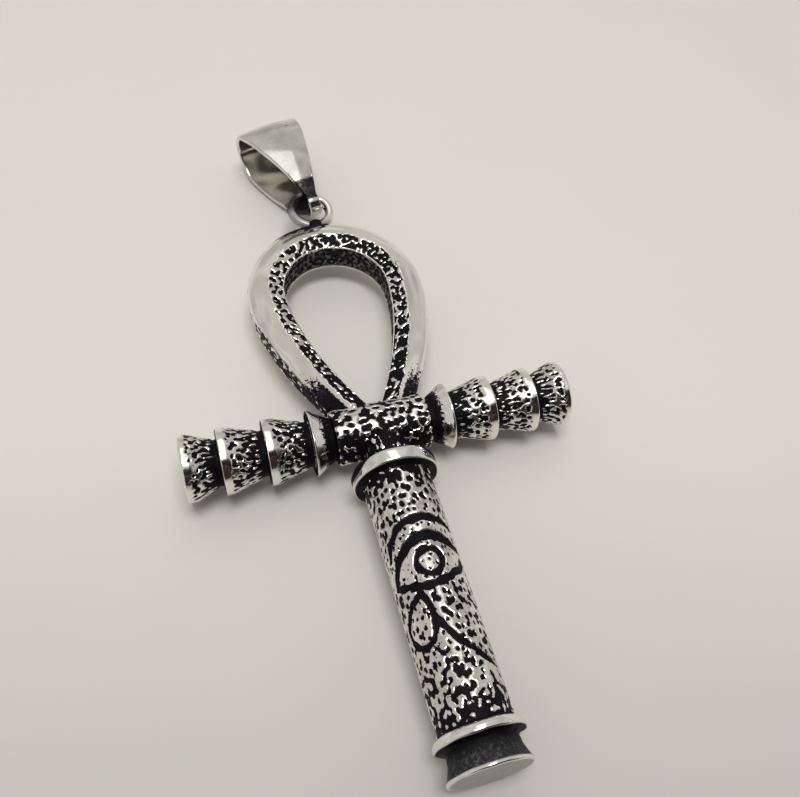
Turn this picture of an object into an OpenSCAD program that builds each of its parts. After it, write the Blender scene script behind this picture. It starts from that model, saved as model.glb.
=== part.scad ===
/* [Crossbar] */
// Diameter of the polished rims on the arms
rim_d = 6.2; // [5.4:0.1:7]
// Length of the polished band behind each rim
rim_band = 0.8; // [0.5:0.1:1.1]
// Diameter of the narrow end of each cone
cone_root_d = 4.1; // [3.6:0.1:4.8]
// Length of the hammered barrel in the middle
barrel_len = 9; // [8:0.2:10.4]
// Diameter of the barrel
barrel_d = 5.2; // [4.8:0.1:5.6]
// Length of the short polished flare beside the barrel
flare_len = 2.15; // [1.7:0.05:2.8]
// Length of each of the two long cones of an arm
cone_len = 4.1; // [3.4:0.1:4.8]
// Length of the last cone of an arm
end_cone_len = 3.3; // [2.6:0.1:4]
// How far each narrow end stands recessed in the rim before it
rim_recess = 0.3; // [0.15:0.05:0.45]
// Height of the dome on each end face
end_dome = 0.12; // [0.05:0.01:0.2]

/* [Stem] */
// Diameter of the stem
stem_d = 6.2; // [5.6:0.1:6.6]
// Length of the plain stem between its collars
stem_len = 21.85; // [18:0.05:28]
// Distance from the bar's axis to the top collar
collar_y = 4.25; // [3.9:0.05:4.8]
// Diameter of the top collar
collar_d = 7.8; // [7.2:0.1:8.4]
// Length of the top collar's polished band
collar_len = 1.4; // [1:0.05:1.6]
// Length of the slope under the top collar
collar_slope = 0.15; // [0.1:0.05:0.4]
// Diameter of the knuckle at the foot of the stem
knuckle_d = 7.4; // [7:0.1:8]
// Length of the polished knuckle
knuckle_len = 0.8; // [0.6:0.05:1.5]
// Smallest diameter of the waist under the knuckle
waist_d = 5.7; // [5:0.1:6]
// Length of the waist
waist_len = 2.1; // [1.3:0.05:2.4]
// Diameter of the foot disc
foot_d = 6.9; // [6.4:0.1:7.4]
// Thickness of the foot disc
foot_len = 0.35; // [0.2:0.05:0.6]

/* [Loop] */
// Width of the loop over its outer edges
loop_w = 18; // [16.5:0.5:20]
// Distance from the bar's axis to the top of the loop
loop_top = 27; // [25:0.5:30]
// Distance from the bar's axis to the widest place
loop_wide_y = 17.1; // [16:0.1:18]
// Width of the polished slope at the loop's side
slope_w = 2.25; // [1.8:0.05:2.6]
// Width of the polished slope at the loop's top
slope_top_w = 2.9; // [2.4:0.05:3.2]
// Width of the hammered slope inside it
hammer_w = 1.5; // [1.1:0.05:1.8]
// Thickness of the loop over its ridges
ridge_t = 4.1; // [3.4:0.1:4.8]
// Thickness of the inner wall
inner_t = 2.9; // [2.2:0.1:3.3]
// Thickness of the outer wall
outer_t = 1.6; // [1.2:0.1:2.4]

/* [Eye ring] */
// Diameter of the ring's wire
wire_d = 1.05; // [0.9:0.05:1.2]
// Diameter of the ring's hole
eye_hole_d = 3.2; // [3:0.05:3.6]
// Height of the ring over the loop's top
eye_rise = 0.35; // [0:0.05:0.6]
// How far the ring sits to the right of the middle
eye_side = 0.2; // [0:0.05:0.4]
// Angle that the ring's far side is raised
eye_tilt = 7; // [0:1:12]
// Angle that the ring's left side is raised
eye_roll = 9; // [0:1:14]
// Diameter of the soldered neck between ring and loop
neck_d = 1.5; // [1.1:0.1:2]

/* [Engraved eye] */
// Depth of the engraved lines
line_depth = 0.16; // [0.1:0.02:0.24]
// Width of the thin lines
line_w = 0.55; // [0.4:0.05:0.65]
// Width of the heavy upper lid
lid_w = 0.8; // [0.6:0.05:0.9]
// Length of the motif along the stem
motif_len = 12.9; // [11:0.1:14]
// Distance from the top collar's slope to the brow
motif_drop = 5.15; // [4.5:0.05:6]
// Angle from the middle of the stem to the motif's side
motif_wrap = 75; // [65:1:78]

/* [Bail] */
// Length from the middle of the narrow end's bend to the end of the fold
bail_len = 13.2; // [11.6:0.2:14.6]
// Width of the band over the fold
bail_w = 7.2; // [6:0.2:8.4]
// Width of the band where it goes through the ring
bail_tip_w = 1.3; // [1:0.1:1.6]
// Thickness of the band
band_t = 0.55; // [0.45:0.05:0.6]
// Height of the folded band over its leaves
bail_h = 7.3; // [6.4:0.1:7.6]
// Length of the round fold
fold_len = 5; // [4:0.1:5.5]
// Height of the narrow end over its bend
tip_h = 3; // [2.7:0.1:3.2]
// How far the narrow end reaches past the ring's wire
tip_slack = 0.8; // [0.5:0.1:1.1]
// Angle that the bail leans to the left
bail_lean = 13; // [8:1:18]
// Angle that the bail lies rolled over
bail_roll = 3.5; // [0:0.5:6]

/* [Hidden] */
FINE = 72;
ROUND = 40;
e = 0.02;

// Broken edges and small steps that all turned pieces share
edge_r = 0.15;
soft = 0.1;
lip = 0.35;

// Places along an arm, from the middle of the bar
neck_x = barrel_len / 2;
rim1_x = neck_x + flare_len;
rim2_x = rim1_x + cone_len;
rim3_x = rim2_x + cone_len;
end_x = rim3_x + end_cone_len;
rim_r = rim_d / 2;
root_r = cone_root_d / 2;
barrel_r = barrel_d / 2;

// Places along the stem, below the bar
slope_y = collar_y + collar_len;
stem_y = slope_y + collar_slope;
knuckle_y = stem_y + stem_len;
waist_y = knuckle_y + knuckle_len;
foot_y = waist_y + waist_len;
end_y = foot_y + foot_len;
stem_r = stem_d / 2;
neck_r = barrel_r - lip;
collar_r = collar_d / 2;
knuckle_r = knuckle_d / 2;
waist_r = waist_d / 2;
foot_r = foot_d / 2;

// Ring over the loop's top
wire_r = wire_d / 2;
ring_r = eye_hole_d / 2 + wire_r;
ring_y = loop_top + eye_rise + ring_r + wire_r;

// Place where the ring's wire goes through the bail, to the right of the ring's farthest point
hang_angle = 5;
hang_x = eye_side + ring_r * sin(hang_angle) * cos(eye_roll);
hang_y = ring_y + ring_r * cos(hang_angle) * cos(eye_tilt);
tip_r = tip_h / 2;
bail_r = bail_h / 2;
fold_x = bail_len - fold_len;
tip_rows = 6;
leaf_rows = 16;
fold_rows = 12;
leaf_power = 2.8;
side_rows = 8;
side_power = 1.35;
edge_x = bail_len - 0.4 * fold_len;

// The part lies on its collar and its bail, with the origin under the middle of its length
lie_z = max(collar_d, knuckle_d) / 2;
bail_x = hang_x + tip_slack * sin(bail_lean);
bail_y = hang_y - tip_slack * cos(bail_lean);
bail_z = bail_r * cos(bail_roll) + bail_w / 2 * sin(bail_roll);
far_y = bail_y + bail_len * cos(bail_lean) + bail_w / 2 * sin(bail_lean) * cos(bail_roll);
mid_y = (far_y - end_y) / 2;

// Share of a cone's length and of its rise at the middle of its hollow flank
flank_at = 0.45;
flank_rise = 0.42;
flank_r = root_r + flank_rise * (rim_r - root_r);

// Profile of one cone, as place along the bar and radius: recessed root, flank, rim band, hollow
function cone(x0, x1) = [
    [x0 - rim_recess, root_r],
    [x0 + flank_at * (x1 - x0 - rim_band), flank_r],
    [x1 - rim_band, rim_r - soft / 2],
    [x1 - edge_r, rim_r],
    [x1, rim_r - edge_r],
    [x1, root_r + lip],
];

// Half profile of the bar, as place along the bar and radius
barrel_part = [
    [0, 0],
    [0, barrel_r],
    [neck_x - lip, barrel_r],
    [neck_x - soft, barrel_r - soft],
    [neck_x, root_r],
];
flare_part = [
    [neck_x + 2 * soft, root_r],
    [neck_x + flank_at * flare_len, flank_r],
    [rim1_x - lip, rim_r - soft / 2],
    [rim1_x - edge_r, rim_r],
    [rim1_x, rim_r - edge_r],
    [rim1_x, root_r + lip],
];
half_bar = concat(
    barrel_part,
    flare_part,
    cone(rim1_x, rim2_x),
    cone(rim2_x, rim3_x),
    cone(rim3_x, end_x - end_dome),
    [[end_x, 0]]
);

module arm() {
    rotate([0, 90, 0]) rotate_extrude($fn = FINE) polygon([for (p = half_bar) [p[1], p[0]]]);
}

module crossbar() {
    arm();
    mirror([1, 0, 0]) arm();
}

// Bulge of the knuckle, as share of its length and share of its rise over the stem
knuckle_bulge = [[0.25, 0.45], [0.5, 0.75], [0.75, 0.93], [0.92, 1]];

// Turned profile of the stem, as radius and place below the bar
stem_profile = [
    [0, 0],
    [neck_r, 0],
    [neck_r, collar_y - 2 * soft],
    [collar_r - 2 * soft, collar_y],
    [collar_r, collar_y + lip],
    [collar_r, slope_y - soft],
    [collar_r - soft, slope_y],
    [stem_r + 2 * soft, slope_y + soft],
    [stem_r, stem_y],
    [stem_r, knuckle_y],
    for (p = knuckle_bulge) [stem_r + (knuckle_r - stem_r) * p[1], knuckle_y + knuckle_len * p[0]],
    [knuckle_r - soft, waist_y],
    [waist_r, waist_y + lip],
    [waist_r + soft, waist_y + waist_len / 2],
    [foot_r - edge_r, foot_y - soft],
    [foot_r, foot_y + soft],
    [foot_r - soft, end_y],
    [0, end_y],
];

module stem() {
    rotate([90, 0, 0]) rotate_extrude($fn = FINE) polygon(stem_profile);
}

// Half width of a teardrop at a place on the way from its foot (0) over its side (1) to its top (2)
leg_foot_y = 1.5;
leg_power = 1.8;
half_w = loop_w / 2;
outer_leg = 0.40 * half_w;
ridge_leg = 0.22 * half_w;
inner_leg = 0.03 * half_w;
function drop_y(k, top) = k < 1 ? leg_foot_y + (loop_wide_y - leg_foot_y) * k
    : loop_wide_y + (top - loop_wide_y) * sin(90 * (k - 1));
function drop_x(k, half, foot) = k < 1 ? half - (half - foot) * pow(1 - k, leg_power)
    : half * cos(90 * (k - 1));

// The loop's section at one place: outer wall, ridge, inner wall and the same behind
function station(k) = let (
    xo = drop_x(k, half_w, outer_leg),
    yo = drop_y(k, loop_top),
    xr = drop_x(k, half_w - slope_w, ridge_leg),
    yr = drop_y(k, loop_top - slope_top_w),
    xi = drop_x(k, half_w - slope_w - hammer_w, inner_leg),
    yi = drop_y(k, loop_top - slope_top_w - hammer_w)
) [
    [xo, yo, outer_t / 2],
    [xr, yr, ridge_t / 2],
    [xi, yi, inner_t / 2],
    [xi, yi, -inner_t / 2],
    [xr, yr, -ridge_t / 2],
    [xo, yo, -outer_t / 2],
];

side_steps = 22;
right_side = [for (i = [0:side_steps]) station(2 * i / side_steps)];
left_side = [for (i = [side_steps - 1:-1:0]) [for (p = right_side[i]) [-p[0], p[1], p[2]]]];
stations = concat(right_side, left_side);
rows = len(stations);
sides = 6;

module loop() {
    points = [for (s = stations) for (p = s) p];
    walls = [for (i = [0:rows - 2]) for (j = [0:sides - 1]) let (
        a = i * sides + j, b = i * sides + (j + 1) % sides, c = b + sides, d = a + sides
    ) for (t = [[a, b, c], [a, c, d]]) t];
    first = [for (j = [1:sides - 2]) [0, j + 1, j]];
    last = [for (j = [1:sides - 2]) let (z = (rows - 1) * sides) [z, z + j, z + j + 1]];
    polyhedron(points, concat(walls, first, last));
}

module eye_ring() {
    translate([eye_side, ring_y, 0]) rotate([eye_tilt, 0, 0]) rotate([0, eye_roll, 0])
        rotate_extrude($fn = FINE) translate([ring_r, 0]) circle(r = wire_r, $fn = ROUND);
    translate([eye_side, loop_top - slope_top_w / 2, 0]) rotate([-90, 0, 0])
        cylinder(d = neck_d, h = slope_top_w / 2 + eye_rise + wire_r, $fn = ROUND);
}

// Engraved lines: each row is the share of the wrap angle and the share of the motif's length
brow = [[-0.90, 0.20], [-0.80, 0.115], [-0.53, 0.039], [-0.27, 0.010], [0, 0], [0.27, 0.008],
    [0.53, 0.035], [0.82, 0.078]];
upper_lid = [[-0.93, 0.38], [-0.83, 0.29], [-0.67, 0.24], [-0.47, 0.19], [-0.27, 0.151],
    [-0.07, 0.128], [0.16, 0.132], [0.37, 0.159], [0.60, 0.198], [0.83, 0.236], [1, 0.275]];
lower_lid = [[-0.93, 0.385], [-0.57, 0.425], [-0.27, 0.457], [-0.07, 0.461], [0.15, 0.450],
    [0.41, 0.415], [0.67, 0.368], [0.87, 0.32]];
tear = [[-0.40, 0.470], [-0.58, 0.525], [-0.80, 0.590], [-0.95, 0.665], [-0.93, 0.740],
    [-0.80, 0.803], [-0.60, 0.830], [-0.42, 0.800], [-0.29, 0.720], [-0.24, 0.640], [-0.30, 0.555]];
tear_at = [-0.58, 0.665];
tear_inner = 0.7;
sweep_line = [[-0.36, 0.477], [-0.29, 0.562], [-0.24, 0.647], [-0.13, 0.729], [-0.01, 0.795],
    [0.13, 0.849], [0.29, 0.895], [0.47, 0.942], [0.67, 0.981], [0.83, 1.010]];
iris_at = [-0.02, 0.306];
iris_r = 1.33;
pupil_r = 0.85;

motif_y = stem_y + motif_drop;
function unrolled(p) = [stem_r * motif_wrap * p[0] * PI / 180, -(motif_y + motif_len * p[1])];
function rolled(q) = [stem_r * sin(q[0] / stem_r * 180 / PI), q[1]];
function on_stem(p) = rolled(unrolled(p));
function side_of(a, b) = let (d = b - a, n = norm(d)) [-d[1] / n, d[0] / n];
function miter(q, i) = let (last = len(q) - 1,
    a = side_of(q[max(i - 1, 0)], q[max(i, 1)]), b = side_of(q[min(i, last - 1)], q[min(i + 1, last)])
) (a + b) / (1 + a * b);

// A line through the rows of a table, of even width on the unrolled stem
module stroke(rows, w) {
    q = [for (p = rows) unrolled(p)];
    n = len(q);
    polygon(concat([for (i = [0:n - 1]) rolled(q[i] + miter(q, i) * w / 2)],
        [for (i = [n - 1:-1:0]) rolled(q[i] - miter(q, i) * w / 2)]));
}

module motif() {
    stroke(brow, line_w);
    stroke(upper_lid, lid_w);
    stroke(lower_lid, line_w);
    stroke(sweep_line, line_w);
    difference() {
        polygon([for (p = tear) on_stem(p)]);
        polygon([for (p = tear) on_stem(tear_at + tear_inner * (p - tear_at))]);
    }
    translate(on_stem(iris_at)) difference() {
        circle(r = iris_r, $fn = FINE);
        circle(r = pupil_r, $fn = FINE);
    }
}

// The lines are sunk into the front of the stem only
module engraving() {
    intersection() {
        linear_extrude(height = stem_d) motif();
        translate([0, -stem_y, 0]) rotate([90, 0, 0]) difference() {
            cylinder(r = stem_r + lip, h = stem_len, $fn = FINE);
            translate([0, 0, -e]) cylinder(r = stem_r - line_depth, h = stem_len + 2 * e, $fn = FINE);
        }
    }
}

// The cast piece with its soldered ring is one solid
module ankh() {
    color("silver") translate([0, -mid_y, lie_z]) difference() {
        union() {
            crossbar();
            stem();
            loop();
            eye_ring();
        }
        engraving();
    }
}

// Side outline of the band, taken in by a wall: round tip, bowed leaf and round fold
function leaf(t, inset) = [fold_x * t,
    tip_r - inset + (bail_r - tip_r) * (1 - pow(1 - t, leaf_power))];
function bail_side(inset) = concat(
    [for (i = [0:tip_rows]) let (a = 180 - 90 * i / tip_rows)
        [(tip_r - inset) * cos(a), (tip_r - inset) * sin(a)]],
    [for (i = [1:leaf_rows]) leaf(i / leaf_rows, inset)],
    [for (i = [1:fold_rows - 1]) let (a = 90 - 90 * i / fold_rows)
        [fold_x + (fold_len - inset) * cos(a), (bail_r - inset) * sin(a)]]
);
function both_leaves(inset) = let (half = bail_side(inset)) concat(half, [[bail_len - inset, 0]],
    [for (i = [len(half) - 1:-1:1]) [half[i][0], -half[i][1]]]);

// Front outline of the band: narrow through the ring, widest over the fold
module bail_front() {
    w0 = bail_tip_w / 2;
    w1 = bail_w / 2;
    side = concat([[-bail_h, w0]],
        [for (i = [0:side_rows]) let (t = i / side_rows)
            [edge_x * t, w0 + (w1 - w0) * (1 - pow(1 - t, side_power))]],
        [[bail_len + bail_h, w1]]);
    last = len(side) - 1;
    polygon(concat(side, [for (i = [last:-1:0]) [side[i][0], -side[i][1]]]));
}

// The bail in its own frame: its length along Y, its width along X
module band() {
    rotate([0, 0, 90]) intersection() {
        rotate([90, 0, 0]) translate([0, 0, -bail_w]) linear_extrude(height = 2 * bail_w) difference() {
            polygon(both_leaves(0));
            polygon(both_leaves(band_t));
        }
        translate([0, 0, -bail_h]) linear_extrude(height = 2 * bail_h) bail_front();
    }
}

module bail() {
    color("gainsboro") translate([bail_x, bail_y - mid_y, bail_z]) rotate([0, 0, bail_lean])
        rotate([0, -bail_roll, 0]) band();
}

ankh();
bail();
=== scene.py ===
"""Looks of a cast steel ankh pendant with an engraved eye and a folded bail.

The pendant lies on a pale board under soft light. All sizes of the pieces are in millimetres in the
pendant's own axes: X along the crossbar, Y along the stem towards the bail and Z out of the face
with the eye, from the middle of the crossbar's axis. Seat puts them into the row frame, in metres.
"""

import logging
from dataclasses import dataclass, field, replace
from enum import Enum

import bpy
import numpy as np
from mathutils import Matrix


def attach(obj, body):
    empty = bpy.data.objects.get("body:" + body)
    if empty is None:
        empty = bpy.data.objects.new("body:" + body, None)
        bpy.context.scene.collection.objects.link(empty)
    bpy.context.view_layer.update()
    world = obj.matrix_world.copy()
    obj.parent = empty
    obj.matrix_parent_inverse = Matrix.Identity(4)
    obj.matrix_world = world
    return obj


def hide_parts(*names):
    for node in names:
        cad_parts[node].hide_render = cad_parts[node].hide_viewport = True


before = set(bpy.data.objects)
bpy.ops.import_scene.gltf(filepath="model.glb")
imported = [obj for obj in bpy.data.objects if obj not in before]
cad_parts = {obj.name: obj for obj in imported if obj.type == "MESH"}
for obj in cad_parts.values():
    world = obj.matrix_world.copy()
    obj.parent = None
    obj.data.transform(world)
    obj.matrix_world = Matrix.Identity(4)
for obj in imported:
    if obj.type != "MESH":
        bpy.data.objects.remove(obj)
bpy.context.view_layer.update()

Array = np.ndarray
Pair = tuple[float, float]
Spot = tuple[float, float, float]
Colour = tuple[float, float, float, float]
Socket = bpy.types.NodeSocket
Piece = bpy.types.Object

FULL_TURN = 2.0 * np.pi
FAR_OUT = -9.0
TINY = 0.001

log = logging.getLogger("ankh")


class Mark(Enum):
    """What a piece's surface carries at each of its points, from 0 to 1."""

    # Oxide black in pits and hollows, and in some places painted shade and painted reflection.
    OXIDE_AND_SHADE = "oxide"
    POLISH = "polish"
    SPECKLE = "speckle"


class Run(Enum):
    """The axis that a turned piece runs along, and the way that its rings go round it."""

    BAR = "along X, rings from +Z towards -Y"
    STEM = "along Y, rings from +Z towards +X"


def ease(low: float, high: float, value: Array) -> Array:
    """Goes smoothly from 0 at low to 1 at high, up or down, as 3t squared less 2t cubed."""
    t = np.clip((value - low) / (high - low), 0.0, 1.0)
    return t * t * (3.0 - 2.0 * t)


def soft_side(value: Array, blur: float) -> Array:
    """Rises smoothly from 0 to 1 while the value goes from blur below 0 to blur above it."""
    return ease(-blur, blur, value)


def blend(a: Array, b: Array | float, share: Array) -> Array:
    """Goes straight from a to b as the share goes from 0 to 1."""
    return a * (1 - share) + b * share


def highest(*layers: Array) -> Array:
    """The greatest of several layers at each point."""
    return np.maximum.reduce(layers)


def circle(count: int) -> Array:
    """Even angles round a full turn, from 0."""
    return np.linspace(0.0, FULL_TURN, count, endpoint=False)


def walked(line: Array) -> Array:
    """Distance of each corner point of a line from its start."""
    return np.concatenate([[0.0], np.cumsum(np.linalg.norm(np.diff(line, axis=0), axis=1))])


def resample(line: Array, steps: Array) -> Array:
    """Points at given distances along an open line of corner points, straight between them."""
    gone = walked(line)
    return np.stack([np.interp(steps, gone, column) for column in line.T], axis=1)


def line_length(line: Array) -> float:
    """Length of an open line of corner points."""
    return float(np.linalg.norm(np.diff(line, axis=0), axis=1).sum())


def evenly(line: Array, count: int) -> tuple[Array, Array]:
    """Points at even steps along an open line, from end to end, and their distances along it."""
    steps = np.linspace(0.0, line_length(line), count)
    return resample(line, steps), steps


def round_corners(line: Array, radius: float, closed: bool = False,
                  step: float = 0.02) -> Array:
    """Rounds a line's corners: each point becomes the bell-weighted mean of its neighbours.

    Args:
        line: Corner points, a row each. A closed line doesn't repeat its first point.
        radius: Reach of the bell, in mm.
        closed: Whether the line closes on itself.
        step: Distance between the points that come back.

    Returns:
        Dense points along the rounded line. An open line keeps its two ends.
    """
    path = np.vstack([line, line[:1]]) if closed else line
    length = line_length(path)
    count = max(8, int(length / step))
    dense = resample(path, np.linspace(0.0, length, count, endpoint=not closed))
    reach = max(1, int(3 * radius / step))
    bell = np.exp(-0.5 * (np.arange(-reach, reach + 1) * step / radius) ** 2)
    bell /= bell.sum()
    how = {"mode": "wrap"} if closed else {"mode": "reflect", "reflect_type": "odd"}
    padded = np.pad(dense, ((reach, reach), (0, 0)), **how)
    return np.stack([np.convolve(column, bell, mode="valid") for column in padded.T], axis=1)


@dataclass(frozen=True)
class Seat:
    """Where the pendant's own axes lie in the row frame."""

    middle_y: float = 7.0458
    height: float = 3.9

    def to_row(self, points: Array) -> Array:
        """Moves points in mm of the pendant's axes into the row frame, in metres."""
        return (points + np.array([0.0, -self.middle_y, self.height])) / 1000.0


@dataclass(frozen=True)
class Grain:
    """Seeded noise on a sheet that closes on itself both ways, read at a surface's points.

    The sheet is length by width mm, u and v are the points' places on it, step is the distance
    between its own points, band is the width of the worms' bell and shake says how far a dimple may
    lie from its cell's middle, as a share of the cell. A dimple's size is least_pit at the least,
    and up to pit_range more.
    """

    length: float
    width: float
    seed: int
    u: Array
    v: Array
    step: float = 0.05
    band: float = 0.32
    shake: float = 0.85
    least_pit: float = 0.72
    pit_range: float = 0.6

    @property
    def size(self) -> tuple[int, int]:
        """Rows and columns of the sheet."""
        return max(16, int(self.length / self.step)), max(16, int(self.width / self.step))

    def at(self, u: Array, v: Array) -> "Grain":
        """The same sheet, read at other places."""
        return replace(self, u=u, v=v)

    def worms(self, along: float, across: float) -> Array:
        """Noise of one band of wavelengths, which reads as worm-like blobs when cut at a level.

        White noise is filtered by a ring in the plane of waves per mm: a bell round 1 in the
        wave number times the wanted spacing, stretched by the two spacings.

        Args:
            along: Spacing of the blobs along the length, in mm.
            across: Spacing across it.

        Returns:
            The noise at the points.
        """
        rows, cols = self.size
        white = np.random.default_rng(self.seed).standard_normal((rows, cols))
        wave_u = np.fft.fftfreq(rows, d=self.length / rows)[:, None] * along
        wave_v = np.fft.fftfreq(cols, d=self.width / cols)[None, :] * across
        ring = np.exp(-0.5 * ((np.hypot(wave_u, wave_v) - 1.0) / self.band) ** 2)
        return self.read(np.fft.ifft2(np.fft.fft2(white) * ring).real)

    def dimples(self, along: float, across: float) -> Array:
        """Noise whose low spots are separate round pits, one in each cell of a shaken grid.

        A cell's pit lies at a drawn place in it and has a drawn size. Each point takes the least of
        its distances from the pits of the nine cells round it, divided by the pits' sizes.

        Args:
            along: Spacing of the pits along the length, in mm.
            across: Spacing across it.

        Returns:
            The noise at the points, lowest in the pits' middles.
        """
        draw = np.random.default_rng(self.seed + 1)
        cells = max(3, round(self.length / along)), max(3, round(self.width / across))
        place_u, place_v = 0.5 + self.shake * (draw.random((2, *cells)) - 0.5)
        size = self.least_pit + self.pit_range * draw.random(cells)
        rows, cols = self.size
        u = np.linspace(0.0, cells[0], rows, endpoint=False)[:, None]
        v = np.linspace(0.0, cells[1], cols, endpoint=False)[None, :]
        best = np.full((rows, cols), -FAR_OUT)
        for du, dv in ((a, b) for a in (-1, 0, 1) for b in (-1, 0, 1)):
            row, col = np.floor(u).astype(int) + du, np.floor(v).astype(int) + dv
            cell = (row % cells[0], col % cells[1])
            far = np.hypot(u - row - place_u[cell], v - col - place_v[cell])
            best = np.minimum(best, far / size[cell])
        return self.read(best)

    def read(self, sheet: Array) -> Array:
        """Reads a sheet at the points, straight between its own points and round its edges.

        Args:
            sheet: A sheet of numbers, which are first brought to mean 0 and deviation 1.

        Returns:
            The sheet's values at the points.
        """
        sheet = (sheet - sheet.mean()) / sheet.std()
        rows, cols = sheet.shape
        a, b = self.u / self.length * rows, self.v / self.width * cols
        i, j = np.floor(a).astype(int), np.floor(b).astype(int)
        i0, i1, j0, j1 = i % rows, (i + 1) % rows, j % cols, (j + 1) % cols
        return blend(blend(sheet[i0, j0], sheet[i0, j1], b - j),
                     blend(sheet[i1, j0], sheet[i1, j1], b - j), a - i)


@dataclass(frozen=True)
class Pitting:
    """How hammered ground is made up: round pits and worm-like pits, in shares and spacings."""

    round_share: float
    round_mm: Pair
    worm_share: float
    worm_mm: Pair

    def relief(self, grain: Grain) -> Array:
        """Height of the ground at the grain's points. Its low spots become the pits."""
        dimples = self.round_share * grain.dimples(*self.round_mm)
        return dimples + self.worm_share * grain.worms(*self.worm_mm)


@dataclass
class Skin:
    """A surface on a grid of two parameters, with marks at its points.

    Its columns close on themselves. Its rows do too if it is closed. Otherwise its first and its
    last row are each closed by a fan round a pole.
    """

    name: str
    points: Array
    marks: dict[Mark, Array | float] = field(default_factory=dict)
    closed: bool = False

    def normals(self) -> Array:
        """Unit normals: the cross product of the grid's two directions, pointing out of the shape.

        Returns:
            An array of the same shape as the points.
        """
        p = self.points
        ends = np.roll(p, -1, axis=0) - np.roll(p, 1, axis=0)
        along = ends if self.closed else np.gradient(p, axis=0)
        normal = np.cross(along, np.roll(p, -1, axis=1) - np.roll(p, 1, axis=1))
        normal /= np.maximum(np.linalg.norm(normal, axis=2, keepdims=True), 1e-12)
        return normal * self.outward()

    def outward(self) -> float:
        """Tells which way rows crossed with columns point.

        Returns:
            1 if out of the shape, or -1: the sign of its volume.
        """
        spots = self.vertices()
        a, b, c = spots[self.triangles().T] - spots.mean(axis=0)
        return 1.0 if np.einsum("ij,ij->i", a, np.cross(b, c)).sum() > 0 else -1.0

    def press(self, pits: Array, depth: float, where: Array) -> None:
        """Presses pits, each as deep as depth times where in mm, with rounded ridges between."""
        # a wide soft bowl, and a narrow step at its edge
        bowl = 0.7 * ease(-0.55, 0.45, pits) + 0.3 * soft_side(pits, 0.1)
        self.sink(depth * bowl * where)

    def sink(self, depth: Array) -> None:
        """Moves each point into the piece along its normal, by a depth in mm for each."""
        self.points = self.points - self.normals() * depth[..., None]

    def vertices(self) -> Array:
        """The grid's points in one list, and the two poles' points after them on an open grid."""
        flat = self.points.reshape(-1, 3)
        return flat if self.closed else np.vstack([flat, self.points[[0, -1]].mean(axis=1)])

    def triangles(self) -> Array:
        """Two triangles for each cell of the grid, and a fan at each pole.

        Returns:
            Rows of three indices into the vertices.
        """
        rows, cols = self.points.shape[:2]
        i = np.arange(rows if self.closed else rows - 1)[:, None]
        j = np.arange(cols)[None, :]
        below, ahead = (i + 1) % rows, (j + 1) % cols
        a, b, c, d = i * cols + j, below * cols + j, below * cols + ahead, i * cols + ahead
        cells = np.stack([np.stack([a, b, c], -1), np.stack([a, c, d], -1)], axis=2).reshape(-1, 3)
        if self.closed:
            return cells
        ring, after, pole = j[0], ahead[0], np.full(cols, rows * cols)
        last = (rows - 1) * cols
        return np.vstack([cells, np.stack([pole, ring, after], -1),
                          np.stack([pole + 1, last + after, last + ring], -1)])

    def build(self, seat: Seat) -> Piece:
        """Puts the surface into a mesh, with its faces outwards and its marks as attributes.

        Args:
            seat: Place of the pendant in the row frame.

        Returns:
            The new object, at the origin of the row frame.
        """
        tri = self.triangles()[:, :: int(self.outward())]
        piece = put_in(self.name, seat.to_row(self.vertices()), tri, smooth=True)
        for mark in Mark:
            value = np.broadcast_to(self.marks.get(mark, 0.0), self.points.shape[:2])
            poles = [] if self.closed else value[[0, -1]].mean(axis=1)
            full = np.concatenate([value.ravel(), poles]).astype(np.float32)
            layer = piece.data.attributes.new(mark.value, "FLOAT", "POINT")
            layer.data.foreach_set("value", full)
        log.info("%s: %d triangles", self.name, len(tri))
        return piece


def put_in(name: str, spots: Array, faces: Array, smooth: bool) -> Piece:
    """Puts a mesh into the scene.

    Args:
        name: Its name.
        spots: Its points, in metres.
        faces: Its faces, as rows of indices into the points.
        smooth: Whether it is shaded smooth.

    Returns:
        The new object, at the origin.
    """
    mesh = bpy.data.meshes.new(name)
    mesh.from_pydata(spots.tolist(), [], faces.tolist())
    mesh.polygons.foreach_set("use_smooth", np.full(len(faces), smooth))
    mesh.update()
    piece = bpy.data.objects.new(name, mesh)
    bpy.context.scene.collection.objects.link(piece)
    return piece


def turned(name: str, profile: Array, around: int, run: Run) -> Skin:
    """A profile carried round an axis: place along it and radius become a ring of points each.

    Args:
        name: Name of the piece.
        profile: Rows of place along the axis and radius.
        around: Points in each ring.
        run: The axis.

    Returns:
        The surface, with no marks yet.
    """
    angle = circle(around)[None, :]
    place, radius = profile[:, 0][:, None], profile[:, 1][:, None]
    up, side, along = radius * np.cos(angle), radius * np.sin(angle), place + 0.0 * angle
    rings = (along, -side, up) if run is Run.BAR else (side, along, up)
    return Skin(name, np.stack(rings, axis=-1))


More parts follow.
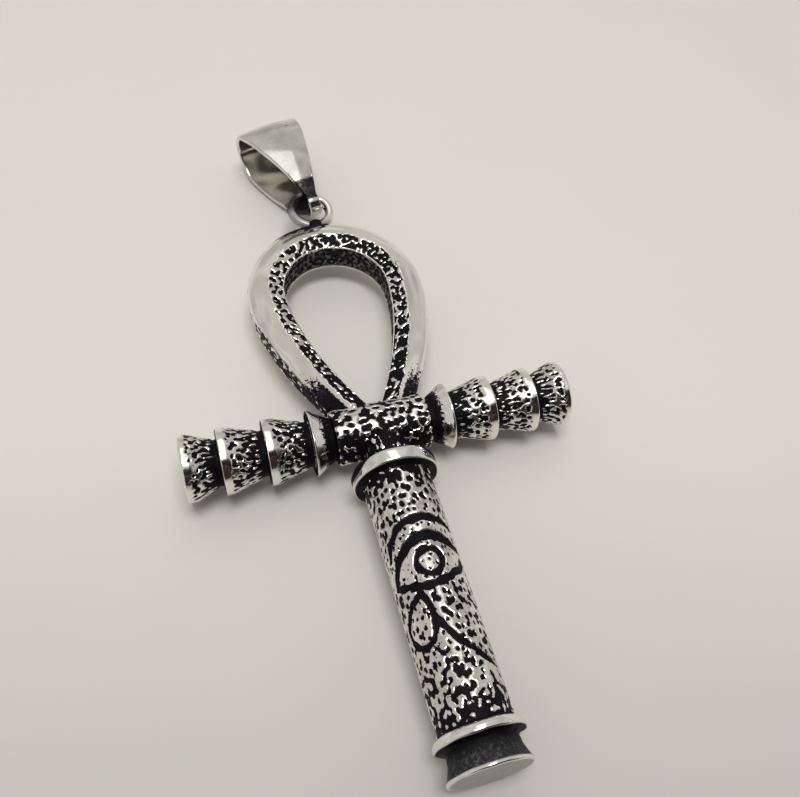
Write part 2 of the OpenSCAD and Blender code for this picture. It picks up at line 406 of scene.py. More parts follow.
class Net:
    """A node tree that is filled by short calls."""

    def __init__(self, owner: bpy.types.Material | bpy.types.World) -> None:
        """Empties the tree.

        Args:
            owner: The material or the world that it belongs to.
        """
        owner.use_nodes = True
        self.owner, self.tree = owner, owner.node_tree
        self.tree.nodes.clear()

    def node(self, kind: str, settings: dict | None = None, **sockets: object) -> bpy.types.Node:
        """Adds a node.

        Args:
            kind: Its type, after "ShaderNode".
            settings: Its own properties.
            **sockets: Values or outputs for its inputs. An underscore in a name stands for a space,
                and a name such as in_1 takes the input of that number.

        Returns:
            The node.
        """
        made = self.tree.nodes.new("ShaderNode" + kind)
        for key, value in (settings or {}).items():
            setattr(made, key, value)
        for key, value in sockets.items():
            spot = made.inputs[int(key[3:]) if key.startswith("in_") else key.replace("_", " ")]
            if isinstance(value, Socket):
                self.tree.links.new(value, spot)
            else:
                spot.default_value = value
        return made

    def math(self, operation: str, a: object, b: object) -> Socket:
        """One sum of two numbers or sockets."""
        return self.node("Math", {"operation": operation}, in_0=a, in_1=b).outputs[0]

    def plus(self, a: object, b: object) -> Socket:
        """a and b added."""
        return self.math("ADD", a, b)

    def less(self, a: object, b: object) -> Socket:
        """b taken from a."""
        return self.math("SUBTRACT", a, b)

    def times(self, a: object, b: object) -> Socket:
        """a times b."""
        return self.math("MULTIPLY", a, b)

    def most(self, a: object, b: object) -> Socket:
        """The greater of a and b."""
        return self.math("MAXIMUM", a, b)

    def step(self, value: object, low: object, high: object) -> Socket:
        """Rises smoothly from 0 at low to 1 at high."""
        kind = {"interpolation_type": "SMOOTHSTEP"}
        return self.node("MapRange", kind, Value=value, From_Min=low, From_Max=high).outputs[0]

    def between(self, amount: object, a: object, b: object) -> Socket:
        """A number between a and b by an amount from 0 to 1."""
        return self.node("Mix", {"data_type": "FLOAT"}, in_0=amount, in_2=a, in_3=b).outputs[0]

    def tint(self, amount: object, a: object, b: object) -> Socket:
        """A colour between a and b by an amount from 0 to 1."""
        return self.node("Mix", {"data_type": "RGBA"}, in_0=amount, in_6=a, in_7=b).outputs[2]

    def mark(self, mark: Mark) -> Socket:
        """What the surface carries of a mark."""
        return self.node("Attribute", {"attribute_name": mark.value}).outputs["Fac"]

    def noise(self, grain_mm: float, detail: float = 2.0,
              rough: float = 0.5) -> Socket:
        """Noise of one grain size on the object's own coordinates, from 0 to 1.

        Args:
            grain_mm: Size of a blob, in mm.
            detail: Octaves of finer noise.
            rough: Weight of the finer noise.

        Returns:
            The noise's number.
        """
        spot, scale = self.node("TexCoord").outputs["Object"], 1000.0 / grain_mm
        made = self.node("TexNoise", None, Vector=spot, Scale=scale, Detail=detail, Roughness=rough)
        return made.outputs[0]

    def surface(self, height: object, strength: float, depth: float,
                **sockets: object) -> bpy.types.Material:
        """Ends a material's tree with its shader, bumped by a height.

        Args:
            height: What the bumps follow, from 0 to 1.
            strength: Strength of the bumps.
            depth: Their depth, in metres.
            **sockets: The shader's inputs.

        Returns:
            The material.
        """
        bump = self.node("Bump", None, Strength=strength, Distance=depth, Height=height)
        shader = self.node("BsdfPrincipled", None, Normal=bump.outputs[0], **sockets)
        self.node("OutputMaterial", None, in_0=shader.outputs[0])
        return self.owner


@dataclass(frozen=True)
class AntiquedSteel:
    """Cast stainless steel, bright where it is rubbed and black in its pits, lines and corners, and
    darkened where painted shade is laid into its mark.
    """

    slot: str = "antiqued_steel"
    name: str = "blackened_cast_steel"
    bright: Colour = (0.88, 0.86, 0.815, 1.0)
    dull: Colour = (0.62, 0.595, 0.56, 1.0)
    black: Colour = (0.0045, 0.004, 0.0055, 1.0)
    satin: Colour = (0.075, 0.076, 0.088, 1.0)
    rub_rough: float = 0.09
    polish_rough: float = 0.095
    black_rough: float = 0.5
    black_gloss: float = 0.07

    def material(self) -> bpy.types.Material:
        """Builds the node tree: the marks and a fine noise mask choose between steel and black.

        Oxide, shaken by noise, gives the pits with ragged edges, and sharp ones on polished places;
        painted shade in the same mark darkens the steel the same way.
        Speckle sets the level under which fine noise gives black dots. Black on a polished place
        has a satin cloud.

        Returns:
            The material.
        """
        net = Net(bpy.data.materials.new(self.name))
        oxide, polish, speckle = (net.mark(mark) for mark in Mark)
        wobble = net.times(net.less(net.noise(0.2, 3.0), 0.5), 0.55)
        pits = net.step(net.plus(oxide, wobble), 0.38, 0.58)
        level = net.between(speckle, 0.24, 0.78)
        dots = net.step(net.less(level, net.noise(0.26, 2.0, 0.6)), -0.03, 0.03)
        dots = net.times(dots, net.step(speckle, 0.01, 0.06))
        mask = net.between(polish, net.most(pits, dots), net.most(oxide, dots))
        cloud = net.step(net.noise(2.2, 4.0, 0.6), 0.35, 0.7)
        steel = net.tint(net.times(cloud, net.less(1.0, polish)), self.bright, self.dull)
        satin = net.times(polish, net.step(net.noise(0.26, 4.0, 0.7), 0.46, 0.70))
        scratch = net.noise(0.35, 5.0, 0.7)
        rubbed = net.plus(self.rub_rough, net.times(scratch, 0.12))
        smooth = net.plus(self.polish_rough, net.times(scratch, 0.07))
        return net.surface(
            net.times(net.noise(0.22, 3.0, 0.6), net.between(polish, 1.0, 0.04)), 0.25, 0.00003,
            Base_Color=net.tint(mask, steel, net.tint(satin, self.black, self.satin)),
            Metallic=net.between(mask, 1.0, 0.0),
            Roughness=net.between(mask, net.between(polish, rubbed, smooth), self.black_rough),
            Specular_IOR_Level=self.black_gloss,
        )


@dataclass(frozen=True)
class PolishedSteel:
    """Mirror-polished stainless steel with hairline marks of wear."""

    slot: str = "polished_steel"
    name: str = "mirror_polished_steel"
    bright: Colour = (0.75, 0.742, 0.69, 1.0)
    dull: Colour = (0.60, 0.597, 0.55, 1.0)
    black: Colour = (0.02, 0.018, 0.018, 1.0)
    rough: float = 0.10
    black_rough: float = 0.35

    def material(self) -> bpy.types.Material:
        """Builds the node tree: bright steel, slightly clouded, dark where the mark says so.

        Returns:
            The material.
        """
        net = Net(bpy.data.materials.new(self.name))
        # The mark holds the bail's painted shade, its painted dark reflection and its nick.
        ragged = net.plus(net.mark(Mark.OXIDE_AND_SHADE), net.times(net.noise(0.3, 4.0), 0.3))
        mask = net.step(ragged, 0.4, 0.9)
        cloud = net.step(net.noise(2.6, 4.0, 0.6), 0.38, 0.7)
        hairlines = net.times(net.noise(0.3, 5.0, 0.7), 0.09)
        return net.surface(
            net.noise(0.7, 3.0, 0.6), 0.12, 0.00003,
            Base_Color=net.tint(mask, net.tint(cloud, self.bright, self.dull), self.black),
            Metallic=1.0,
            Roughness=net.plus(net.between(mask, self.rough, self.black_rough), hairlines),
        )


@dataclass(frozen=True)
class PlainFinish:
    """A matt surface of the studio, with a faint mottle and a painted falloff of light: darker near
    the viewer, paler away from it.

    The view's direction on the floor is turn radians from +Y, and the painted light grows from
    near to far, in metres along that direction.
    """

    name: str
    light: Colour
    shade: Colour
    rough: float = 0.7
    turn: float = 0.236
    near: float = -0.075
    far: float = 0.005

    def material(self) -> bpy.types.Material:
        """Builds the node tree.

        Returns:
            The material.
        """
        net = Net(bpy.data.materials.new(self.name))
        spot = net.node("TexCoord").outputs["Object"]
        spot = net.node("Mapping", None, Vector=spot, Rotation=(0.0, 0.0, self.turn)).outputs[0]
        away = net.node("SeparateXYZ", None, Vector=spot).outputs["Y"]
        mottle = net.times(net.less(net.noise(26.0, 5.0, 0.55), 0.5), 0.15)
        # Painted falloff of light along the view, with a faint mottle on top.
        painted_light_and_mottle = net.plus(net.step(away, self.near, self.far), mottle)
        return net.surface(net.noise(0.8, 4.0, 0.6), 0.15, 0.0001,
                           Base_Color=net.tint(painted_light_and_mottle, self.shade, self.light),
                           Roughness=self.rough)


Metal = AntiquedSteel | PolishedSteel


def dress(piece: Piece, finish: Metal, body: str, node: str) -> None:
    """Gives a piece its finish, hangs it on its body and lets it stand for its CAD node.

    Args:
        piece: The new piece.
        finish: What it is made of.
        body: Body that it moves with.
        node: CAD node that it stands for.
    """
    piece.data.materials.append(bpy.data.materials.get(finish.name) or finish.material())
    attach(piece, body)
    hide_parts(node)


@dataclass
class Part:
    """A sub-assembly whose pieces ride on one body and stand for one CAD node."""

    body: str = "ankh"
    node: str = "ankh"

    def skins(self) -> list[Skin]:
        """The surfaces of the sub-assembly's pieces."""
        raise NotImplementedError

    def make(self, seat: Seat, finish: Metal) -> list[Piece]:
        """Builds and dresses the sub-assembly's pieces.

        Args:
            seat: Place of the pendant in the row frame.
            finish: Their metal.

        Returns:
            The pieces.
        """
        pieces = [skin.build(seat) for skin in self.skins()]
        for piece in pieces:
            dress(piece, finish, self.body, self.node)
        return pieces


@dataclass
class Crossbar(Part):
    """The bar: a hammered barrel, a short flare on each side of it and three cones on each arm.

    The spans say where a part of the finish starts and ends, as shares of the way from a rim back
    to the root before it.
    """

    barrel_len: float = 9.0
    barrel_r: float = 2.6
    root_r: float = 2.05
    rim_r: float = 3.1
    rim_band: float = 0.8
    flare_len: float = 2.15
    cone_len: float = 4.1
    end_cone_len: float = 3.3
    recess: float = 0.3
    end_dome: float = 0.12
    edge: float = 0.15
    soft: float = 0.1
    lip: float = 0.35
    flank_at: float = 0.45
    flank_rise: float = 0.42
    bend: float = 0.05
    pit_depth: float = 0.11
    pit_blur: float = 0.16
    wave_depth: float = 0.012
    rub_span: Pair = (0.28, 0.13)
    clear_span: Pair = (0.27, 0.15)
    streak_span: Pair = (0.52, 0.80)
    black_span: Pair = (0.80, 1.0)
    flare_rub_span: Pair = (0.7, 0.4)
    flare_dot_span: Pair = (0.25, 0.75)
    flare_black_span: Pair = (0.66, 0.9)
    arm_rows: int = 268
    arm_around: int = 232
    barrel_rows: int = 150
    barrel_around: int = 208
    mean_r: float = 2.8
    arm_pits: Pitting = Pitting(0.90, (0.64, 0.50), 0.36, (0.68, 0.54))
    end_pits: Pitting = Pitting(0.80, (0.78, 0.64), 0.55, (0.74, 0.56))
    barrel_pits: Pitting = Pitting(0.90, (0.80, 0.68), 0.40, (0.76, 0.66))

    @property
    def rims(self) -> list[float]:
        """Places of the flare's rim and of the three cones' rims, from the middle of the bar."""
        first = self.barrel_len / 2 + self.flare_len
        return [first, first + self.cone_len, first + 2 * self.cone_len,
                first + 2 * self.cone_len + self.end_cone_len]

    @property
    def flank_r(self) -> float:
        """Radius at the middle of a hollow flank."""
        return self.root_r + self.flank_rise * (self.rim_r - self.root_r)

    def rim_profile(self, end: float, band: float) -> list[Pair]:
        """Place and radius along a rim band, over the rim and down its face."""
        return [(end - band, self.rim_r - self.soft / 2), (end - self.edge, self.rim_r),
                (end, self.rim_r - self.edge), (end, self.root_r + self.lip)]

    def arm_profile(self) -> Array:
        """A whole arm, from the groove beside the barrel over the flare and the cones to its end.

        Returns:
            Rows of place and radius.
        """
        neck, rims = self.barrel_len / 2, self.rims
        rows = [(neck - self.soft, self.root_r - 0.3), (neck, self.root_r),
                (neck + 2 * self.soft, self.root_r),
                (neck + self.flank_at * self.flare_len, self.flank_r),
                *self.rim_profile(rims[0], self.lip)]
        for start, end in zip(rims, [rims[1], rims[2], rims[3] - self.end_dome]):
            flank = start + self.flank_at * (end - start - self.rim_band)
            rows += [(start - self.recess, self.root_r), (flank, self.flank_r),
                     *self.rim_profile(end, self.rim_band)]
        return np.array([*rows, (rims[3] - 0.03, 0.9), (rims[3], 0.0)])

    def arm(self, side: int) -> Skin:
        """One arm, with its pits, its polished rims and its black roots.

        The level under which the relief turns to a pit runs with the distance behind the next rim,
        as a share of the cone: no pits on the rim band, about two fifths of the flank, and nearly
        all black at the root. The flare is polished and speckled, and the end face pitted.

        Args:
            side: 1 for the right arm, -1 for the left.

        Returns:
            The arm's surface.
        """
        line, place = evenly(round_corners(self.arm_profile(), self.bend), self.arm_rows)
        skin = turned("arm_right" if side > 0 else "arm_left", line, self.arm_around, Run.BAR)
        length = round(float(place[-1]), 1)
        place, angle = np.meshgrid(place, circle(self.arm_around), indexing="ij")
        x, radius = (np.broadcast_to(column[:, None], angle.shape) for column in line.T)
        rims = self.rims
        reach, span = np.full_like(x, -FAR_OUT), np.full_like(x, self.cone_len)
        for start, end in zip([self.barrel_len / 2, *rims], rims):
            inside = (x > start - self.recess * 0.5) & (x <= end + TINY)
            reach = np.where(inside, end - x, reach)
            span = np.where(inside, end - start, span)
        share = np.clip(reach / span, 0.0, 1.0)
        flare, root = x < rims[0] + TINY, ease(*self.streak_span, share)
        end_face = ease(rims[3] - 0.2, rims[3] - 0.05, x)
        step_in = ease(self.root_r + self.lip + 0.1, self.root_r + 0.1, radius)

        round_bar = angle * self.mean_r
        grain = Grain(length, FULL_TURN * self.mean_r, 40 + side, place, round_bar)
        relief = blend(self.arm_pits.relief(grain), grain.worms(1.3, 0.5), root)
        end_grain = grain.at(skin.points[..., 1], skin.points[..., 2])
        relief = blend(relief, self.end_pits.relief(end_grain), end_face)
        blotch = grain.worms(3.4, 3.0)
        level = -0.17 + 0.16 * blotch + 0.80 * root + 2.4 * ease(*self.black_span, share)
        level = level - 2.4 * ease(*self.clear_span, share)
        level = np.where(flare, -3.0 + 4.6 * ease(*self.flare_black_span, share), level)
        level = blend(level, -0.7, end_face)

        polish = ease(*self.rub_span, share) * (1 - end_face)
        polish = np.where(flare, ease(*self.flare_rub_span, share), polish)
        skin.marks = {
            Mark.OXIDE_AND_SHADE: np.maximum(soft_side(level - relief, self.pit_blur),
                                   step_in * (share < 0.04) * (1 - end_face)),
            Mark.POLISH: polish,
            Mark.SPECKLE: np.where(flare, 0.95 * ease(*self.flare_dot_span, share),
                                   0.22 * ease(0.12, 0.2, share)),
        }
        open_side = radius > self.root_r + 0.1
        skin.press(level - relief, self.pit_depth, np.where(open_side, 1 - polish, 0.2))
        skin.sink(self.wave_depth * grain.worms(2.2, 1.8) * polish * (1 - end_face))
        skin.points[..., 0] *= side
        return skin

    def barrel(self) -> Skin:
        """The barrel, bright with large black pits, and closed inside the arms.

        Its underside towards the stem is blacker, and its right end is rubbed bright.

        Returns:
            The barrel's surface.
        """
        half, mouth = self.barrel_len / 2, (self.barrel_len / 2 - 0.02, 1.4)
        right = [(half - self.lip, self.barrel_r), (half - self.soft, self.barrel_r - self.soft),
                 (half, self.root_r), mouth]
        rows = [(-x, radius) for x, radius in reversed(right)] + right
        line, place = evenly(round_corners(np.array(rows), self.bend), self.barrel_rows)
        skin = turned("barrel", line, self.barrel_around, Run.BAR)
        length = round(float(place[-1]), 1)
        place, angle = np.meshgrid(place, circle(self.barrel_around), indexing="ij")
        x = np.broadcast_to(line[:, :1], angle.shape)
        to_end = half - np.abs(x)
        grain = Grain(length, FULL_TURN * self.barrel_r, 21, place, angle * self.barrel_r)
        relief = self.barrel_pits.relief(grain)
        level = 0.12 - 1.2 * ease(0.4, 0.2, to_end) * (x > 0)
        level = level + 3.6 * ease(0.1, 0.0, to_end)
        level = level + 0.6 * ease(0.35, 0.85, np.sin(angle))
        skin.marks = {
            Mark.OXIDE_AND_SHADE: soft_side(level - relief, self.pit_blur),
            Mark.POLISH: 0.7 * ease(0.35, 0.2, to_end),
            Mark.SPECKLE: 0.15,
        }
        skin.press(level - relief, 1.1 * self.pit_depth, np.ones_like(x))
        return skin

    def skins(self) -> list[Skin]:
        """The barrel and both arms."""
        return [self.barrel(), self.arm(1), self.arm(-1)]


@dataclass(frozen=True)
class Stroke:
    """One engraved line: rows of shares of the wrap angle and of the motif's length, and widths."""

    rows: tuple[Pair, ...]
    width: float
    end_width: float


@dataclass(frozen=True)
class EyeMotif:
    """The traditional eye in the front of the stem, seen along Z."""

    stem_r: float = 3.1
    top: float = -10.95
    length: float = 12.9
    wrap: float = 75.0
    iris: Pair = (-0.02, 0.306)
    iris_r: float = 1.33
    pupil_r: float = 0.85
    brow: Stroke = Stroke((
        (-0.90, 0.20), (-0.80, 0.115), (-0.53, 0.039), (-0.27, 0.010), (0.0, 0.0),
        (0.27, 0.008), (0.53, 0.035), (0.82, 0.078)), 0.64, 0.50)
    upper_lid: Stroke = Stroke((
        (-0.93, 0.38), (-0.83, 0.29), (-0.67, 0.24), (-0.47, 0.19), (-0.27, 0.151), (-0.07, 0.128),
        (0.16, 0.132), (0.37, 0.159), (0.60, 0.198), (0.83, 0.236), (1.0, 0.275)), 0.84, 0.52)
    lower_lid: Stroke = Stroke((
        (-0.93, 0.385), (-0.57, 0.425), (-0.27, 0.457), (-0.07, 0.461), (0.15, 0.450),
        (0.41, 0.415), (0.67, 0.368), (0.87, 0.32)), 0.60, 0.52)
    curl: Stroke = Stroke((
        (-0.36, 0.477), (-0.29, 0.562), (-0.24, 0.647), (-0.13, 0.729), (-0.01, 0.795),
        (0.13, 0.849), (0.29, 0.895), (0.47, 0.942), (0.67, 0.981), (0.83, 1.010)), 0.50, 0.34)
    tear: Stroke = Stroke((
        (-0.40, 0.478), (-0.62, 0.530), (-0.86, 0.595), (-0.98, 0.665), (-0.95, 0.740),
        (-0.80, 0.797), (-0.61, 0.818), (-0.43, 0.790), (-0.30, 0.715), (-0.255, 0.640),
        (-0.31, 0.560), (-0.40, 0.478)), 0.44, 0.44)
    tear_mid: Pair = (-0.62, 0.66)
    tear_reach: Pair = (1.4, 2.0)

    def spot(self, rows: object) -> Array:
        """Shares of the wrap angle and the length become mm round the stem and along it."""
        turn, way = np.radians(self.wrap * np.array(rows)[:, 0]), np.array(rows)[:, 1]
        return np.stack([self.stem_r * turn, self.top - self.length * way], axis=1)

    def groove(self, stroke: Stroke, x: Array, y: Array) -> Array:
        """How deep inside a line each point lies: half the line's width less its distance from it.

        The line is laid through its points with rounded corners, and the distance is the least over
        its short straight stretches.

        Args:
            stroke: The line.
            x: Places round the stem, from the middle of its front.
            y: Places along it.

        Returns:
            The depth in mm, below 0 outside the line.
        """
        path = evenly(round_corners(self.spot(stroke.rows), 0.16, step=0.06), 90)[0]
        share = np.linspace(0.0, 1.0, len(path))
        swell = np.sin(np.pi * np.clip(share * 1.1 - 0.05, 0.0, 1.0)) ** 0.7
        width = stroke.end_width + (stroke.width - stroke.end_width) * swell
        best = np.full(x.shape, FAR_OUT)
        for (ax, ay), (bx, by), w in zip(path[:-1], path[1:], width[:-1]):
            dx, dy = bx - ax, by - ay
            t = np.clip(((x - ax) * dx + (y - ay) * dy) / (dx * dx + dy * dy + 1e-12), 0.0, 1.0)
            best = np.maximum(best, w / 2 - np.hypot(x - ax - t * dx, y - ay - t * dy))
        return best

    def carve(self, x: Array, y: Array, z: Array,
              jag: Array) -> tuple[Array, Array]:
        """The engraving at each point of the stem.

        Args:
            x: Places round the stem, from the middle of its front.
            y: Places along it.
            z: Heights, above 0 on the front.
            jag: How much wider the hand-cut lines are there, in mm.

        Returns:
            The grooves, from 0 to 1, and the calm ground beside and inside them, from 0 to 1.
        """
        (cx, cy), (tx, ty) = self.spot([self.iris, self.tear_mid])
        mid_r, half = (self.iris_r + self.pupil_r) / 2, (self.iris_r - self.pupil_r) / 2
        strokes = (self.brow, self.upper_lid, self.lower_lid, self.curl, self.tear)
        inside = highest(*(self.groove(stroke, x, y) for stroke in strokes),
                         half - np.abs(np.hypot(x - cx, y - cy) - mid_r))
        cut = ease(-0.10, 0.02, inside + jag)
        roof, sill, crest = (np.interp(x, *self.spot(stroke.rows).T)
                             for stroke in (self.upper_lid, self.lower_lid, self.brow))
        eye = soft_side(roof - y, 0.1) * soft_side(y - sill, 0.1)
        lid = soft_side(crest - y, 0.1) * soft_side(y - roof, 0.1)
        beside = ease(-0.42, -0.12, inside)
        reach_x, reach_y = self.tear_reach
        tear = ease(1.1, 0.8, np.hypot((x - tx) / reach_x, (y - ty) / reach_y))
        calm = highest(eye, 0.55 * lid, 0.85 * beside, 0.40 * tear)
        return cut * (z > 0), calm * (z > 0)


@dataclass
class Stem(Part):
    """The stem: top collar, hammered shaft with the eye, polished knuckle, dark waist and foot.

    The spans say where a part of the finish starts and ends, in mm from the shaft's top or end.
    """

    stem_r: float = 3.1
    neck_r: float = 2.2
    collar_y: float = 4.25
    collar_len: float = 1.4
    collar_r: float = 3.9
    slope: float = 0.15
    shaft: float = 21.85
    knuckle_r: float = 3.7
    knuckle_len: float = 0.8
    waist_r: float = 2.85
    waist_len: float = 2.1
    foot_r: float = 3.45
    foot_len: float = 0.35
    soft: float = 0.1
    lip: float = 0.35
    edge: float = 0.15
    bend: float = 0.045
    pit_depth: float = 0.10
    pit_blur: float = 0.15
    line_depth: float = 0.17
    jag: float = 0.05
    wave_depth: float = 0.018
    large_pits_from_top: Pair = (13.5, 17.0)
    black_from_top: Pair = (2.2, 0.6)
    islands_from_end: Pair = (4.4, 1.6)
    black_from_end: Pair = (2.4, 0.3)
    sheet_len: float = 24.0
    around: int = 220
    row_counts: tuple[int, int, int] = (76, 276, 98)
    motif: EyeMotif = EyeMotif()

    @property
    def stations(self) -> tuple[float, float, float, float, float]:
        """The heights of the turned parts.

        Returns:
            How far below the bar shaft, knuckle, waist and foot start, and where the foot ends.
        """
        top = self.collar_y + self.collar_len + self.slope
        knuckle = top + self.shaft
        waist = knuckle + self.knuckle_len
        foot = waist + self.waist_len
        return top, knuckle, waist, foot, foot + self.foot_len

    def profile(self) -> Array:
        """The turned line down the stem.

        Returns:
            Rows of place (below the bar, so negative y) and radius.
        """
        top, knuckle, waist, foot, end = self.stations
        slope_y = self.collar_y + self.collar_len
        rows = [
            (0.2, 0.0), (0.3, self.neck_r), (self.collar_y - 0.2, self.neck_r),
            (self.collar_y, self.collar_r - 0.2), (self.collar_y + self.lip, self.collar_r),
            (slope_y - self.soft, self.collar_r), (slope_y, self.collar_r - self.soft),
            (slope_y + self.soft, self.stem_r + 0.2), (top, self.stem_r), (knuckle, self.stem_r),
            (knuckle + 0.06 * self.knuckle_len, self.stem_r + 0.3),
            (knuckle + 0.24 * self.knuckle_len, self.knuckle_r - 0.12),
            (knuckle + 0.55 * self.knuckle_len, self.knuckle_r - 0.03),
            (waist - 0.06, self.knuckle_r), (waist + 0.02, self.knuckle_r - self.soft),
            (waist + 0.12, self.waist_r + 0.25),
            (waist + self.lip, self.waist_r),
            (waist + self.waist_len / 2, self.waist_r + self.soft),
            (foot - self.soft, self.foot_r - self.edge), (foot + self.soft, self.foot_r),
            (end - 0.05, self.foot_r), (end, self.foot_r - self.soft), (end, 1.2), (end, 0.0),
        ]
        return np.array(rows) * (-1.0, 1.0)

    def rings(self) -> Array:
        """The stem's rings: fine steps on the shaft, coarser ones on the turned parts.

        Returns:
            Rows of place and radius.
        """
        line = round_corners(self.profile(), self.bend)
        gone = walked(line)
        top, knuckle = self.stations[:2]
        start, stop = (gone[np.argmax(line[:, 0] <= -place)] for place in (top, knuckle))
        above, shaft, below = self.row_counts
        return resample(line, np.concatenate([
            np.linspace(0.0, start, above, endpoint=False),
            np.linspace(start, stop, shaft, endpoint=False),
            np.linspace(stop, gone[-1], below),
        ]))

    def dark_places(self, skin: Skin) -> tuple[Array, Array, Array]:
        """Where the turned parts are dark: black round the neck, under the collar and at the waist,
        and painted shadow of the bar on the collar's upper part.

        The painted shadow on the collar reaches further down on the front than on the flanks.

        Args:
            skin: The stem before it is pressed.

        Returns:
            All dark places, the waist among them and the neck among them, from 0 to 1.
        """
        x, y, z = np.moveaxis(skin.points, 2, 0)
        top, knuckle, waist_y, foot_y = (-place for place in self.stations[:4])
        under = ease(self.collar_r - 0.03, self.collar_r - 0.13, np.hypot(x, z))
        under = under * ease(top + 0.24, top + 0.18, y) * ease(top - 0.12, top, y)
        flank = np.abs(np.sin(circle(self.around)))
        band = 0.42 + 0.78 * ease(0.93, 0.55, flank)
        # Painted shadow of the bar on the collar's upper part.
        shade = soft_side(y - top - self.slope - band, 0.05) * (y < -self.collar_y + 0.1)
        crease = ease(knuckle - 0.08, knuckle, y)
        crease = crease * ease(knuckle + 0.3, knuckle + 0.1, y)
        waist = ease(waist_y + 0.02, waist_y - 0.05, y)
        waist = waist * ease(foot_y - 0.13, foot_y - 0.01, y)
        neck = ease(-self.collar_y + 0.02, -self.collar_y + 0.25, y)
        return highest(under, shade, crease, waist, neck), waist, neck

    def skins(self) -> list[Skin]:
        """The whole stem in one surface, with its pits, its engraving and its dark places.

        Low on the shaft the pits are larger, and near its end the relief is partly turned over,
        which leaves bright islands in black. Near both its ends the level rises, so that they are
        nearly all black. The end face is greyed.

        Returns:
            The stem's surface.
        """
        skin = turned("stem", self.rings(), self.around, Run.STEM)
        x, y, z = np.moveaxis(skin.points, 2, 0)
        top, knuckle, waist_y, _, end_y = (-place for place in self.stations)
        angle, out = np.broadcast_to(circle(self.around), y.shape), np.hypot(x, z)
        from_top, from_end = top - y, y - knuckle
        inner = soft_side(from_top, 0.05) * ease(0.0, 0.15, from_end)
        low = ease(*self.large_pits_from_top, from_top)
        islands = ease(*self.islands_from_end, from_end)

        grain = Grain(self.sheet_len, FULL_TURN * self.stem_r, 7, -y, angle * self.stem_r)
        turn = self.stem_r * np.where(angle > np.pi, angle - FULL_TURN, angle)
        cut, calm = self.motif.carve(turn, y, z, self.jag * grain.worms(1.5, 1.3))
        relief = 0.94 * (1 - 0.12 * low) * grain.dimples(0.74, 0.54)
        relief = relief + (0.32 + 0.18 * low) * grain.worms(0.80, 0.72)
        relief = relief * (1 - 0.45 * islands) - 0.55 * islands * grain.dimples(0.70, 0.50)
        level = -0.26 + 0.14 * grain.worms(4.0, 3.0) + 0.13 * low + 0.04 * islands - 1.1 * calm
        level = level + 1.2 * ease(*self.black_from_top, from_top)
        level = level + 0.9 * ease(*self.black_from_end, from_end)

        dark, waist, neck = self.dark_places(skin)
        glint = ease(1.0, 1.5, relief) * neck
        end_face = ease(self.foot_r - 0.1, self.foot_r - 0.3, out)
        end_face = end_face * ease(end_y + 0.06, end_y + 0.02, y)
        down_waist = ease(0.15, 0.75, (waist_y - y) / self.waist_len)
        skin.marks = {
            Mark.OXIDE_AND_SHADE: highest(soft_side(level - relief, self.pit_blur) * inner, cut * inner,
                                dark * (1 - 0.02 * waist) * (1 - 0.85 * glint), 0.54 * end_face),
            Mark.POLISH: (1 - inner) * (1 - dark) + waist * down_waist,
            Mark.SPECKLE: 0.18 * inner,
        }
        skin.press(level - relief, self.pit_depth, np.maximum(inner * (1 - cut), neck))
        wave = self.wave_depth * grain.worms(2.4, 2.0) * ease(0.0, 1.2, out)
        skin.sink(self.line_depth * cut * inner + wave * (1 - inner))
        return [skin]


